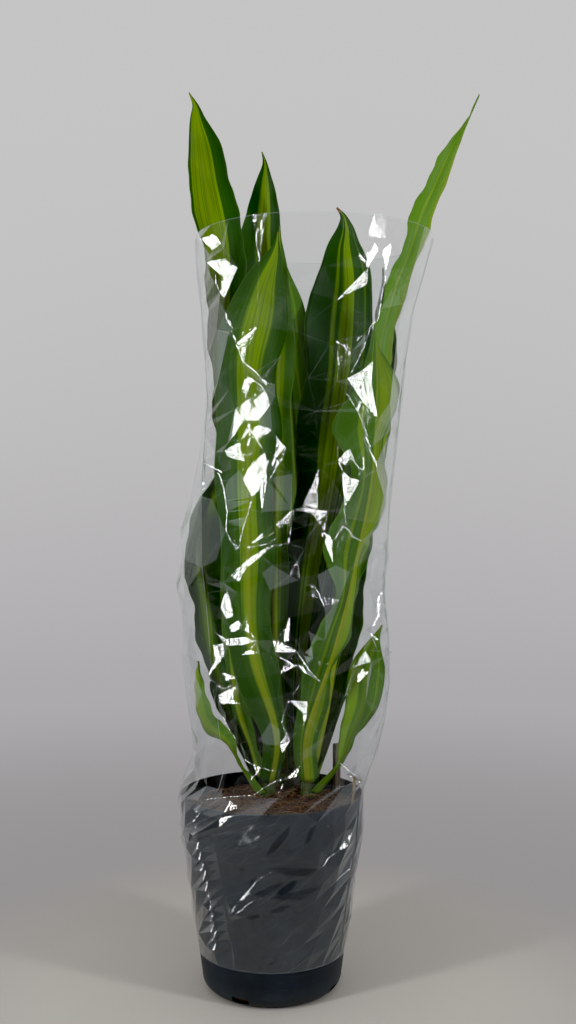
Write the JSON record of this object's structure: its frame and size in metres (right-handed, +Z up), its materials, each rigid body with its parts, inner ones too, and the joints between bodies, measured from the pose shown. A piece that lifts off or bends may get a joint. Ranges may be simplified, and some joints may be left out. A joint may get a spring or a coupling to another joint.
{
  "type": "potted dracaena",
  "caption": "Dracaena of several leafy shoots, long striped wavy strap leaves, in a tapered dark nursery pot of soil, wrapped in a clear crumpled film sleeve open at top and bottom.",
  "frame": {"origin": "middle of the pot's flat underside, on the surface it stands on", "axes": "+Z up along the plant's height, -Y to the front that the picture shows, +X to the right in the picture"},
  "size_m": [0.3982, 0.2912, 1.1753],
  "materials": {
    "pot_plastic": "moulded dark anthracite nursery plastic, satin matte",
    "soil_mix": "brown peat and coir potting mix, dull and crumbly",
    "cane_bark": "young green-tan bark with ring scars",
    "leaf": "waxy leaf, dark green margins with yellow-green middle stripes",
    "clear_film": "clear glossy packing film, crumpled, sharp white creases",
    "stake_wood": "rough brown sawn wood"
  },
  "bodies": {
    "root": {"pot": "pot_plastic", "soil": "soil_mix", "cane_left": "cane_bark", "cane_right": "cane_bark", "cane_back": "cane_bark", "leaf_left_1": "leaf", "leaf_left_2": "leaf", "leaf_left_3": "leaf", "leaf_left_4": "leaf", "leaf_left_5": "leaf", "leaf_left_6": "leaf", "leaf_left_7": "leaf", "leaf_left_8": "leaf", "leaf_left_9": "leaf", "leaf_right_1": "leaf", "leaf_right_2": "leaf", "leaf_right_3": "leaf", "leaf_right_4": "leaf", "leaf_right_5": "leaf", "leaf_right_6": "leaf", "leaf_right_7": "leaf", "leaf_back_1": "leaf", "leaf_back_2": "leaf", "leaf_back_3": "leaf", "leaf_back_4": "leaf", "leaf_back_5": "leaf", "film_sleeve": "clear_film", "stake": "stake_wood", "stick": "stake_wood"}
  },
  "joints": []
}
